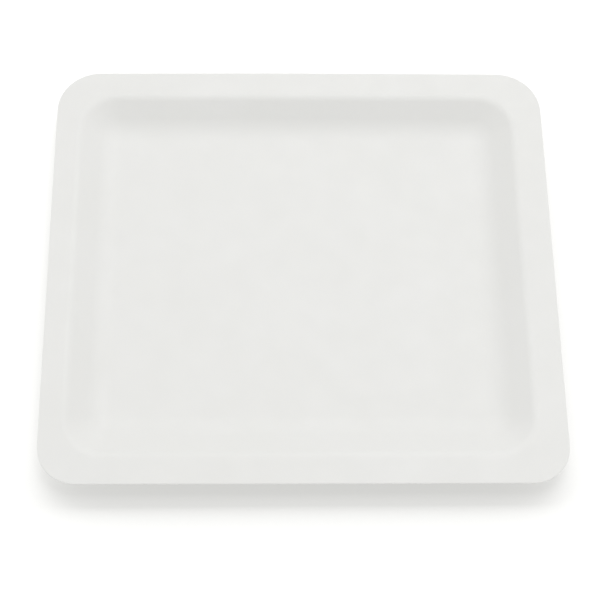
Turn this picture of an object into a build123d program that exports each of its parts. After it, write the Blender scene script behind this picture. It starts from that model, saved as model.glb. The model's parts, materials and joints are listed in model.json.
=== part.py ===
"""Shallow paint tray: one sheet of white plastic, formed over a mould and trimmed to a flat rim.

Frame: millimetres, +Z up, the underside stands on Z = 0, and the rim is centred on X = Y = 0.
X runs along the long side, and Y from the near side to the far side. Nothing moves.
"""

from build123d import *

import os
from math import atan2, degrees, tan

# Driving dimensions
RIM_LENGTH = 340.0  # of the cut outline, along X
RIM_WIDTH = 306.0  # of the cut outline, along Y
RIM_CORNER = 27.0  # corner radius of the cut outline
WELL_LENGTH = 303.0  # between the lines where the rim and wall planes cross, along X
WELL_WIDTH = 266.0  # between those lines along Y
WELL_CORNER = 25.0  # corner radius of those lines
WELL_OFFSET = -2.2  # of the well's middle along X: the sheet is trimmed wider on one side
WALL_RUN = 20.8  # from those lines to the lines where the wall and floor planes cross
FLOOR_CORNER = 9.5  # corner radius of the lines round the floor
DEPTH = 10.0  # from the top of the rim to the top of the floor
SHOULDER_BEND = 13.0  # radius of the bend from rim to wall, on the top face
FOOT_BEND = 38.0  # radius of the bend from wall to floor, on the top face
SHEET = 1.2  # thickness of the formed sheet

# Worked out from them
SLOPE = atan2(DEPTH, WALL_RUN)  # of the wall, in radians from the horizontal
SKIN_SHIFT = SHEET * tan(SLOPE / 2)  # how far outside the top face's bend lines the underside's lie
SAME_HEIGHT = 0.001  # heights closer than this are one height


def well_outline(height, inset, corner):
    """A rounded rectangle round the well's middle, inset from where the rim and wall planes cross."""
    outline = RectangleRounded(WELL_LENGTH - 2 * inset, WELL_WIDTH - 2 * inset, corner)
    return Pos(WELL_OFFSET, 0, height) * outline


def basin(floor, shift):
    """The flat-sided form of one face of the sheet, with its bend lines moved out by shift."""
    foot = well_outline(floor, WALL_RUN - shift, FLOOR_CORNER + shift)
    mouth = well_outline(floor + DEPTH, -shift, WELL_CORNER + shift)
    return loft([foot, mouth], ruled=True)


def edges_at(shape, height):
    """The edges that lie flat at a height."""
    return shape.edges().filter_by_position(Axis.Z, height - SAME_HEIGHT, height + SAME_HEIGHT)


def shoulder_edges(shape, height):
    """The edges where the flat ring of the rim turns into the wall."""
    flat = shape.faces().filter_by_position(Axis.Z, height - SAME_HEIGHT, height + SAME_HEIGHT)
    return flat.sort_by(SortBy.AREA)[-1].inner_wires()[0].edges()


def filled_tray():
    """The rim and the outside of the well, filled in solid up to the top of the rim."""
    rim = extrude(Pos(0, 0, DEPTH) * RectangleRounded(RIM_LENGTH, RIM_WIDTH, RIM_CORNER), SHEET)
    solid = basin(0, SKIN_SHIFT) + rim
    solid = fillet(edges_at(solid, 0), FOOT_BEND + SHEET)
    return fillet(shoulder_edges(solid, DEPTH), SHOULDER_BEND - SHEET)


def well():
    """The space inside the tray, up to the top of the rim."""
    space = basin(SHEET, 0)
    return fillet(edges_at(space, SHEET), FOOT_BEND)


def tray():
    """The filled tray less its well, with the shoulder rounded over."""
    sheet = filled_tray() - well()
    sheet = fillet(shoulder_edges(sheet, DEPTH + SHEET), SHOULDER_BEND)
    sheet.label = "tray"
    return sheet


os.makedirs("parts", exist_ok=True)
formed_sheet = tray()
export_step(formed_sheet, "parts/tray.step")
print("wall slope in degrees:", round(degrees(SLOPE), 1))
print("volume in cubic centimetres:", round(formed_sheet.volume / 1000, 1))
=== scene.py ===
# %% [markdown]
# # A shallow paint tray, formed from one sheet of plastic
# The real tray starts as a flat white sheet. It is heated until it sags, drawn over a mould, and
# trimmed to a rounded outline. So it has one even thickness, no sharp bend anywhere, and a cut edge.
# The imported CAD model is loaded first. It gives the place and the size that everything here keeps to.

# %% Load the frame
import json
import math

import bpy
from mathutils import Matrix, Vector

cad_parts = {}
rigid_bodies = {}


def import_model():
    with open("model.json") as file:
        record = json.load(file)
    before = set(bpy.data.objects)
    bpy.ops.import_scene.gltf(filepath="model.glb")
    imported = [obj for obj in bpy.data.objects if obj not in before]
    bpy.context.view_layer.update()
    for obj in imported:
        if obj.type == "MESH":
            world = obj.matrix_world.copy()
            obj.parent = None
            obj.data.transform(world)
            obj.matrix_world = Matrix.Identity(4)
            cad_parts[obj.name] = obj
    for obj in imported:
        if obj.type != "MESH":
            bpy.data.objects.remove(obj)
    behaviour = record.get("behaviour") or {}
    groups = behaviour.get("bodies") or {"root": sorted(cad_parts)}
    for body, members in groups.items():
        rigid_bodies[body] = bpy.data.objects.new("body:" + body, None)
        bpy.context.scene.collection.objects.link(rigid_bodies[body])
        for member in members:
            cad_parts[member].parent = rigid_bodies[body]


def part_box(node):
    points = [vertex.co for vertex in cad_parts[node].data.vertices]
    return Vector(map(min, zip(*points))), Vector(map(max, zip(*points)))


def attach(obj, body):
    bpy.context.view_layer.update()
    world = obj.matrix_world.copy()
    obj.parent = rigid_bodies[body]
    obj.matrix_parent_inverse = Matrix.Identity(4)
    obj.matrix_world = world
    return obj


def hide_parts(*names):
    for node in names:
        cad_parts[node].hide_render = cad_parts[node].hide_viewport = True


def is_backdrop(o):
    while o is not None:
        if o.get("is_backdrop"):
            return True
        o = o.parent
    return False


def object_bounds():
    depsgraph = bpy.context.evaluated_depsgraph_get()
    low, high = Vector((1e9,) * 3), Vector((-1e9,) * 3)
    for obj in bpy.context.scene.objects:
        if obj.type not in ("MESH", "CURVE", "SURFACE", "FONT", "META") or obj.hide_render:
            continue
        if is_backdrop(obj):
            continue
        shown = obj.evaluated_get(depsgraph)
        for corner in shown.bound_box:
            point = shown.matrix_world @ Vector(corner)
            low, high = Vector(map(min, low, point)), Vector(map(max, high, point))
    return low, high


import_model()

cad_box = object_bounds()
LOW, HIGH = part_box("tray")
MM = 0.001
print("the frame's tray, in millimetres:", [round(side / MM, 1) for side in HIGH - LOW])

# %% [markdown]
# ## The shape of the sheet
# A section through the rim and the wall is always the same: flat rim, a tight bend down, a straight
# slope, and a wide bend into the floor. These are the sizes of that section and of the outlines seen
# from above. The rim's length and width come from the frame. Corners and bends are radii, and the
# wall's run is how far its slope reaches inwards.

# %% Name the sizes
SHEET = 1.2 * MM
FAR_CORNER = 30 * MM
NEAR_CORNER = 25 * MM
WELL_LENGTH = 303 * MM
WELL_WIDTH = 266 * MM
WELL_CORNER = 25 * MM
WELL_OFFSET = -2.2 * MM
WALL_RUN = 20.8 * MM
FLOOR_CORNER = 9.5 * MM
SHOULDER_BEND = 13 * MM
FOOT_BEND = 38 * MM
RIM_TOP = HIGH.z
FLOOR_TOP = LOW.z + SHEET
DEPTH = RIM_TOP - FLOOR_TOP
SLOPE = math.atan2(DEPTH, WALL_RUN)
print("wall slope in degrees:", round(math.degrees(SLOPE), 1))

# %% [markdown]
# ## Working by hand, in code
# Every operator acts on what is selected. So each step first selects nothing, then picks points or
# faces by where they are, as a person would with the mouse.

# %% Helpers for selecting


def leave_edit_mode():
    """Back to object mode, where the mesh data can be read."""
    if bpy.context.object and bpy.context.object.mode != "OBJECT":
        bpy.ops.object.mode_set(mode="OBJECT")


def select_only(piece):
    """Selects one object and makes it the active one."""
    leave_edit_mode()
    bpy.ops.object.select_all(action="DESELECT")
    piece.select_set(True)
    bpy.context.view_layer.objects.active = piece


def select_elements(piece, kind, wanted):
    """In edit mode, selects the points, edges or faces for which wanted(element) is true."""
    bpy.ops.mesh.select_mode(type=kind)
    bpy.ops.mesh.select_all(action="DESELECT")
    bpy.ops.object.mode_set(mode="OBJECT")
    elements = {"VERT": piece.data.vertices, "EDGE": piece.data.edges, "FACE": piece.data.polygons}[kind]
    for element in elements:
        element.select = wanted(element)
    bpy.ops.object.mode_set(mode="EDIT")


# %% [markdown]
# ## One outline
# An outline is a plane, stretched to its length and width, with its corners bevelled round: the two
# far corners first, then the two near ones, because the rim's are not equally round. Only the plane's
# edge is kept. A vertex group remembers it, so that it can be selected again by name later.

# %% Make an outline
CORNER_STEPS = 14
TOUCH = 0.01 * MM


def add_outline(piece, name, length, width, far_corner, near_corner, middle, height):
    """Adds a rounded rectangle to the piece being edited, and remembers it as a vertex group."""
    place = Vector((middle, 0, height))
    bpy.ops.mesh.primitive_plane_add(size=1, location=place)
    bpy.ops.transform.resize(value=(length, width, 1), center_override=place)
    for side, corner in ((1, far_corner), (-1, near_corner)):
        tips = [place + Vector((end * length, side * width, 0)) / 2 for end in (-1, 1)]
        select_elements(piece, "VERT", lambda point: min((point.co - tip).length for tip in tips) < TOUCH)
        bpy.ops.mesh.bevel(offset=corner, offset_type="OFFSET", segments=CORNER_STEPS, affect="VERTICES")
    bpy.ops.mesh.select_linked()
    bpy.ops.object.vertex_group_assign_new()
    piece.vertex_groups.active.name = name
    bpy.ops.mesh.delete(type="ONLY_FACE")


def select_outlines(piece, *names):
    """Selects the piece's outlines with these names and nothing else."""
    bpy.ops.mesh.select_mode(type="VERT")
    bpy.ops.mesh.select_all(action="DESELECT")
    for name in names:
        piece.vertex_groups.active = piece.vertex_groups[name]
        bpy.ops.object.vertex_group_select()


# %% [markdown]
# ## The outlines of the whole skin
# From the cut edge inwards: a few across the flat rim, then one for each step round the two bends.
# The well's outlines get a tighter corner as they go down, as a drawn sheet does.

# %% List the outlines
RIM_STEPS = 4
SHOULDER_STEPS = 8
FOOT_STEPS = 12
EDGE_LOOP = 0.8 * MM


def well_outline(inset, drop):
    """Length, width, two corners, middle and height of the well's outline, inset from its bend line."""
    corner = WELL_CORNER - (WELL_CORNER - FLOOR_CORNER) * inset / WALL_RUN
    sides = (WELL_LENGTH - 2 * inset, WELL_WIDTH - 2 * inset)
    return (*sides, corner, corner, WELL_OFFSET, RIM_TOP - drop)


def shoulder_outlines():
    """Outlines round the bend from rim to wall."""
    start = SHOULDER_BEND * math.tan(SLOPE / 2)
    for step in range(SHOULDER_STEPS + 1):
        angle = SLOPE * step / SHOULDER_STEPS
        yield well_outline(SHOULDER_BEND * math.sin(angle) - start, SHOULDER_BEND * (1 - math.cos(angle)))


def foot_outlines():
    """Outlines round the bend from wall to floor."""
    end = WALL_RUN + FOOT_BEND * math.tan(SLOPE / 2)
    for step in range(FOOT_STEPS + 1):
        angle = SLOPE * (1 - step / FOOT_STEPS)
        yield well_outline(end - FOOT_BEND * math.sin(angle), DEPTH - FOOT_BEND * (1 - math.cos(angle)))


def rim_outline(inset):
    """The same numbers for an outline of the flat rim, inset from the cut edge."""
    sides = (HIGH.x - LOW.x - 2 * inset, HIGH.y - LOW.y - 2 * inset)
    return (*sides, FAR_CORNER - inset, NEAR_CORNER - inset, 0, RIM_TOP)


def rim_outlines():
    """Outlines that turn from the cut edge's shape into that of the shoulder's first one."""
    cut, shoulder = rim_outline(EDGE_LOOP), next(shoulder_outlines())
    for step in range(RIM_STEPS):
        share = step / RIM_STEPS
        yield tuple(one + (other - one) * share for one, other in zip(cut, shoulder))


outlines = [rim_outline(0), *rim_outlines(), *shoulder_outlines(), *foot_outlines()]
print("outlines from the cut edge to the floor:", len(outlines))

# %% [markdown]
# ## The skin
# The outlines are bridged in pairs, and the last one is filled with a face for the floor. The bridge
# tool pairs points wrongly between outlines that lie one inside the other on the same plane. So the
# outlines are made as a tall stack first, bridged, and then lifted to their own heights.

# %% Bridge the outlines
STACK = 20 * MM

bpy.ops.object.select_all(action="DESELECT")
bpy.ops.mesh.primitive_plane_add(size=1)
skin = bpy.context.object
skin.name = "formed_tray"
skin.data.name = "formed_tray"
bpy.ops.object.mode_set(mode="EDIT")
bpy.ops.mesh.delete(type="VERT")
for number, (*sizes, height) in enumerate(outlines):
    add_outline(skin, f"outline_{number}", *sizes, height - STACK * number)
for number in range(len(outlines) - 1):
    select_outlines(skin, f"outline_{number}", f"outline_{number + 1}")
    bpy.ops.mesh.bridge_edge_loops()
for number in range(len(outlines)):
    select_outlines(skin, f"outline_{number}")
    bpy.ops.transform.translate(value=(0, 0, STACK * number))
bpy.ops.mesh.edge_face_add()
bpy.ops.object.mode_set(mode="OBJECT")
bpy.ops.object.vertex_group_remove(all=True)
print("faces after bridging:", len(skin.data.polygons))

# %% [markdown]
# ## Rows of faces along the straight sides
# The long edges are cut into short ones, so that the skin can bend a little later. The same cuts are
# carried across the floor, which turns its one big face into a grid.

# %% Cut the long edges and the floor
LONG_EDGE = 100 * MM
SIDE_CUTS = 23


def edge_length(edge):
    """The length of one of the skin's edges."""
    first, second = (skin.data.vertices[index].co for index in edge.vertices)
    return (first - second).length


def on_floor(face):
    """Whether all of a face's points lie at the floor's height."""
    return all(abs(skin.data.vertices[index].co.z - FLOOR_TOP) < TOUCH for index in face.vertices)


bpy.ops.object.mode_set(mode="EDIT")
select_elements(skin, "EDGE", lambda edge: edge_length(edge) > LONG_EDGE)
bpy.ops.mesh.subdivide(number_cuts=SIDE_CUTS)
floor_length, floor_width, floor_corner = outlines[-1][:3]
floor_middle = Vector((WELL_OFFSET, 0, FLOOR_TOP))
for axis, side in ((Vector((1, 0, 0)), floor_length), (Vector((0, 1, 0)), floor_width)):
    straight = side - 2 * floor_corner
    for cut in range(SIDE_CUTS + 2):
        place = floor_middle + axis * straight * (cut / (SIDE_CUTS + 1) - 0.5)
        select_elements(skin, "FACE", on_floor)
        bpy.ops.mesh.bisect(plane_co=place, plane_no=axis, threshold=TOUCH)
bpy.ops.mesh.select_all(action="SELECT")
bpy.ops.mesh.remove_doubles(threshold=TOUCH)
bpy.ops.mesh.normals_make_consistent(inside=False)
bpy.ops.object.mode_set(mode="OBJECT")
print("faces of the skin:", len(skin.data.polygons))

# %% [markdown]
# ## A sheet that came off the mould a little out of flat
# A thin formed sheet cools unevenly, so its rim is never quite flat. A lattice bends the skin as a
# whole. Its lower layer lies on the floor of the tray and stays still, so the tray still stands flat.
# Its upper layer lies at the rim, with three points each along the near side, the middle and the far
# side. Most of these are pulled up or down by less than a millimetre.

# %% Bend the rim with a lattice
NEAR_LIFTS = [0.5 * MM, -0.1 * MM, -0.3 * MM]
MIDDLE_LIFTS = [0, 0, -0.1 * MM]
FAR_LIFTS = [-0.8 * MM, 0.6 * MM, 0.2 * MM]


def add_rim_lattice():
    """A lattice box from the tray's floor to its rim, with the rim's layer of points shifted."""
    bpy.ops.object.add(type="LATTICE", location=(0, 0, (FLOOR_TOP + RIM_TOP) / 2))
    cage = bpy.context.object
    cage.scale = (HIGH.x - LOW.x, HIGH.y - LOW.y, DEPTH)
    cage.data.points_u, cage.data.points_v, cage.data.points_w = (3, 3, 2)
    cage.data.interpolation_type_u = cage.data.interpolation_type_v = "KEY_CATMULL_ROM"
    cage.data.interpolation_type_w = "KEY_LINEAR"
    lifts = [*NEAR_LIFTS, *MIDDLE_LIFTS, *FAR_LIFTS]
    for point, lift in zip(cage.data.points[len(lifts):], lifts):
        point.co_deform.z += lift / DEPTH
    return cage


cage = add_rim_lattice()
select_only(skin)
bend = skin.modifiers.new("as formed", "LATTICE")
bend.object = cage
bpy.ops.object.modifier_apply(modifier=bend.name)
bpy.data.objects.remove(cage)
heights = [point.co.z for point in skin.data.vertices]
print("rim heights now reach, in millimetres:", round(max(heights) / MM, 2))

# %% [markdown]
# ## Thickness and the cut edge
# The skin is the tray's top face. Solidify gives it the sheet's thickness downwards, and puts the new
# faces round the cut on the second material slot. The trimming tool leaves that edge almost square,
# so a bevel takes off only a little.

# %% Give the skin its thickness
CUT_ROUNDING = 0.25 * MM
CUT_ROUNDING_STEPS = 3
SHARP_BEND = math.radians(60)
SMOOTH_BEND = math.radians(40)

skin.data.materials.clear()
skin.data.materials.append(bpy.data.materials.new("white formed polystyrene"))
skin.data.materials.append(bpy.data.materials.new("trimmed polystyrene edge"))
thickness = skin.modifiers.new("sheet", "SOLIDIFY")
thickness.thickness = SHEET
thickness.offset = -1
thickness.use_even_offset = True
thickness.material_offset_rim = 1
bpy.ops.object.modifier_apply(modifier=thickness.name)
rounding = skin.modifiers.new("cut edge", "BEVEL")
rounding.width = CUT_ROUNDING
rounding.segments = CUT_ROUNDING_STEPS
rounding.limit_method = "ANGLE"
rounding.angle_limit = SHARP_BEND
bpy.ops.object.modifier_apply(modifier=rounding.name)
bpy.ops.object.shade_smooth_by_angle(angle=SMOOTH_BEND)
cut_faces = [face for face in skin.data.polygons if face.material_index == 1]
print("faces of the tray:", len(skin.data.polygons), "and of these on the cut:", len(cut_faces))

# %% [markdown]
# ## Which body and which node the tray stands for
# Nothing on a tray moves, so it rides on the one body that there is. It takes the place of the CAD's
# tray, which stays behind for collisions.

# %% Hand the tray to the frame
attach(skin, "root")
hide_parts("tray")

# %% [markdown]
# ## Helpers for materials
# Colours are written as the hex codes of a colour picker, and a renderer wants them linear. A pattern's
# scale is one over the size of its spots in metres, because the patterns read Object coordinates. A
# node's input takes either another node's output or a plain value, so one helper serves every node.

# %% Colour and node helpers


def linear(code):
    """An sRGB hex colour as linear red, green, blue and alpha."""
    channels = [int(code[place:place + 2], 16) / 255 for place in (1, 3, 5)]
    return (*[c / 12.92 if c <= 0.04045 else ((c + 0.055) / 1.055) ** 2.4 for c in channels], 1)


def add_node(material, kind, **inputs):
    """Adds a node. Each input is named, and is given another node's output or a plain value."""
    tree = material.node_tree
    node = tree.nodes.new(kind)
    for name, value in inputs.items():
        socket = node.inputs[name.replace("_", " ")]
        if isinstance(value, bpy.types.NodeSocket):
            tree.links.new(value, socket)
        else:
            socket.default_value = value
    return node


def empty_tree(material):
    """Clears a material's nodes and gives the socket with the place on the object."""
    material.use_nodes = True
    material.node_tree.nodes.clear()
    return add_node(material, "ShaderNodeTexCoord").outputs["Object"]


# %% [markdown]
# ## The formed face
# High-impact polystyrene sheet, white all through, drawn over a finely blasted mould. The mould's grain
# and the slow cooling give it a satin face: light spreads on it, and no clear reflection shows. The
# white is a trace warm, and light goes a little way in, as it does in every milky plastic.

# %% The colour of the formed face
STYRENE_IOR = 1.59
MILKINESS = 0.2
MILK_DEPTH = 1.5 * MM
EVEN_DEPTH = (1, 1, 1)
MOTTLE = 55 * MM

plastic = skin.data.materials[0]
place = empty_tree(plastic)
mottle = add_node(plastic, "ShaderNodeTexNoise", Vector=place, Scale=1 / MOTTLE, Detail=3)
white = add_node(
    plastic, "ShaderNodeMixRGB",
    Fac=mottle.outputs["Fac"], Color1=linear("#E5E5E2"), Color2=linear("#E8E8E6"),
)

# %% [markdown]
# The gloss varies in patches, where the hot sheet lay longer on the mould. The grain itself is about
# 0.2 mm on the real sheet, too fine to show, so it is drawn three times as coarse and very shallow.
# Under it lies a wider, gentler swell, the orange peel that heated sheet is left with.

# %% The gloss and the grain of the formed face
GLOSS_PATCH = 18 * MM
SATIN = 0.5
MATT = 0.58
GRAIN = 0.6 * MM
GRAIN_HEIGHT = 0.004 * MM
PEEL = 7 * MM
PEEL_HEIGHT = 0.01 * MM

patches = add_node(plastic, "ShaderNodeTexNoise", Vector=place, Scale=1 / GLOSS_PATCH, Detail=2)
gloss = add_node(
    plastic, "ShaderNodeMapRange",
    Value=patches.outputs["Fac"], From_Min=0.3, From_Max=0.7, To_Min=SATIN, To_Max=MATT,
)
peel = add_node(plastic, "ShaderNodeTexNoise", Vector=place, Scale=1 / PEEL, Detail=1)
grain = add_node(plastic, "ShaderNodeTexNoise", Vector=place, Scale=1 / GRAIN, Detail=2)
swell = add_node(plastic, "ShaderNodeBump", Height=peel.outputs["Fac"], Distance=PEEL_HEIGHT)
relief = add_node(
    plastic, "ShaderNodeBump",
    Height=grain.outputs["Fac"], Distance=GRAIN_HEIGHT, Normal=swell.outputs["Normal"],
)

# %% Put the formed face together
surface = add_node(
    plastic, "ShaderNodeBsdfPrincipled",
    Base_Color=white.outputs["Color"], Roughness=gloss.outputs["Result"], IOR=STYRENE_IOR,
    Subsurface_Weight=MILKINESS, Subsurface_Radius=EVEN_DEPTH, Subsurface_Scale=MILK_DEPTH,
    Normal=relief.outputs["Normal"],
)
add_node(plastic, "ShaderNodeOutputMaterial", Surface=surface.outputs["BSDF"])
print("nodes of the formed face:", len(plastic.node_tree.nodes))

# %% [markdown]
# ## The cut edge
# The same sheet where a blade or a router went through it: a trace whiter and rougher than the formed
# face, with short marks across the edge. Stretching the pattern's height makes the marks stand upright.

# %% Make the cut edge
CUT_MARK = 0.8 * MM
CUT_MARK_STRETCH = 0.15
CUT_MARK_DEPTH = 0.03 * MM
CUT_ROUGHNESS = 0.65

cut = skin.data.materials[1]
upright = add_node(cut, "ShaderNodeMapping", Vector=empty_tree(cut), Scale=(1, 1, CUT_MARK_STRETCH))
marks = add_node(cut, "ShaderNodeTexNoise", Vector=upright.outputs["Vector"], Scale=1 / CUT_MARK, Detail=2)
cut_white = add_node(
    cut, "ShaderNodeMixRGB",
    Fac=marks.outputs["Fac"], Color1=linear("#E8E9E6"), Color2=linear("#F0F0EE"),
)
cut_relief = add_node(cut, "ShaderNodeBump", Height=marks.outputs["Fac"], Distance=CUT_MARK_DEPTH)
cut_surface = add_node(
    cut, "ShaderNodeBsdfPrincipled",
    Base_Color=cut_white.outputs["Color"], Roughness=CUT_ROUGHNESS, IOR=STYRENE_IOR,
    Subsurface_Weight=MILKINESS, Subsurface_Radius=EVEN_DEPTH, Subsurface_Scale=MILK_DEPTH,
    Normal=cut_relief.outputs["Normal"],
)
add_node(cut, "ShaderNodeOutputMaterial", Surface=cut_surface.outputs["BSDF"])
print("nodes of the cut edge:", len(cut.node_tree.nodes))

# %% [markdown]
# ## The studio floor
# Small white things are often shown on a sheet of opal glass lit from below. Its own glow fills most
# shadows, and it gives back little of the light from above, so the shadows beside the tray disappear.
# The glow is a trace warm. The glass has a fine frosting, drawn coarser than it is.

# %% Lay the studio floor
FLOOR_SIZE = 24
FLOOR_GLOW = 0.56
FROSTING = 3 * MM
FROST_ROUGHNESS = 0.8

bpy.ops.mesh.primitive_plane_add(size=FLOOR_SIZE)
studio_floor = bpy.context.object
studio_floor.name = "studio_floor"
opal = bpy.data.materials.new("frosted opal glass")
frosting = add_node(opal, "ShaderNodeTexNoise", Vector=empty_tree(opal), Scale=1 / FROSTING, Detail=2)
opal_white = add_node(
    opal, "ShaderNodeMixRGB",
    Fac=frosting.outputs["Fac"], Color1=linear("#6A6A6A"), Color2=linear("#6E6E6E"),
)
opal_surface = add_node(
    opal, "ShaderNodeBsdfPrincipled",
    Base_Color=opal_white.outputs["Color"], Roughness=FROST_ROUGHNESS, Specular_IOR_Level=0,
    Emission_Color=linear("#FFFFFC"), Emission_Strength=FLOOR_GLOW,
)
add_node(opal, "ShaderNodeOutputMaterial", Surface=opal_surface.outputs["BSDF"])
studio_floor.data.materials.append(opal)
studio_floor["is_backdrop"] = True
print("studio floor, in metres:", [round(side, 1) for side in studio_floor.dimensions])

# %% [markdown]
# ## The light
# A white tent lights everything evenly. A large soft box behind the tray, a little to its right, makes
# the far wall darker than the near one and so shows the shape of the well. A very long strip of light,
# low behind the tray, lights only the glass. It throws the tray's soft shadow towards the camera, and
# its length lets the shadow fade gently at both ends.

# %% Surround the tray with white
TENT_STRENGTH = 0.69

tent = bpy.data.worlds.new("white studio tent")
tent.use_nodes = True
background = tent.node_tree.nodes["Background"]
background.inputs["Color"].default_value = linear("#FFFFFF")
background.inputs["Strength"].default_value = TENT_STRENGTH
bpy.context.scene.world = tent
bpy.context.scene.view_settings.view_transform = "Standard"

# %% Hang the soft boxes


def add_soft_box(name, distance, from_zenith, to_the_right, width, height, brightness):
    """A rectangular light that faces the tray.

    A small light of brightness 1 lights a level white sheet to full white.
    """
    tilt, turn = math.radians(from_zenith), math.radians(to_the_right)
    away = Vector((math.sin(tilt) * math.sin(turn), math.sin(tilt) * math.cos(turn), math.cos(tilt)))
    bpy.ops.object.light_add(type="AREA", location=away * distance)
    box = bpy.context.object
    box.name = name
    box.rotation_euler = away.to_track_quat("Z", "Y").to_euler()
    box.data.shape = "RECTANGLE"
    box.data.size = width
    box.data.size_y = height
    box.data.energy = brightness * math.pi ** 2 * distance ** 2 / math.cos(tilt)
    print(name, "watts:", round(box.data.energy, 1))
    return box


add_soft_box(
    "back_soft_box", distance=6, from_zenith=28, to_the_right=15,
    width=3.5, height=3.5, brightness=0.33,
)
shadow_strip = add_soft_box(
    "shadow_strip", distance=5, from_zenith=67, to_the_right=0,
    width=30, height=4.3, brightness=11.2,
)

# %% [markdown]
# The strip is linked to the glass: with both selected, and the light active, the glass becomes the
# one thing that receives the strip's light. The tray still casts its shadow there.

# %% Let the strip light the glass only
select_only(shadow_strip)
studio_floor.select_set(True)
bpy.ops.object.light_linking_receivers_link(link_state="INCLUDE")

# %% [markdown]
# ## The camera
# A long lens about a metre away looks down steeply at the near part of the tray. The camera stands a
# little to the left and is held a little tilted, so the tray's sides are not quite square in the frame.

# %% Place the camera
DISTANCE = 1.0703
ELEVATION = math.radians(64.77)
YAW = math.radians(4.03)
ROLL = math.radians(3.66)
TARGET = Vector((-1.8 * MM, -25 * MM, RIM_TOP))
LENS = 96.6
SENSOR = 36

level = Vector((math.sin(YAW), math.cos(YAW), 0)) * math.cos(ELEVATION)
forward = level - Vector((0, 0, math.sin(ELEVATION)))
right = Vector((math.cos(YAW), -math.sin(YAW), 0))
up = right.cross(forward)
right, up = right * math.cos(ROLL) + up * math.sin(ROLL), up * math.cos(ROLL) - right * math.sin(ROLL)
bpy.ops.object.camera_add(location=TARGET - forward * DISTANCE)
camera = bpy.context.object
camera.rotation_euler = Matrix((right, up, -forward)).transposed().to_euler()
camera.data.lens = LENS
camera.data.sensor_width = SENSOR
bpy.context.scene.camera = camera
print("camera, in metres:", [round(value, 3) for value in camera.location])

# %% [markdown]
# ## Print the sizes and finish
# The visual tray should fill the same box as the CAD's tray, apart from the small bend of its rim. Both
# boxes are printed, so that they can be compared.

# %% Print the sizes and finish
visual_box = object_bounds()
for label, box in (("cad", cad_box), ("visual", visual_box)):
    print(label, "corners, in millimetres:", [[round(value / MM, 1) for value in corner] for corner in box])
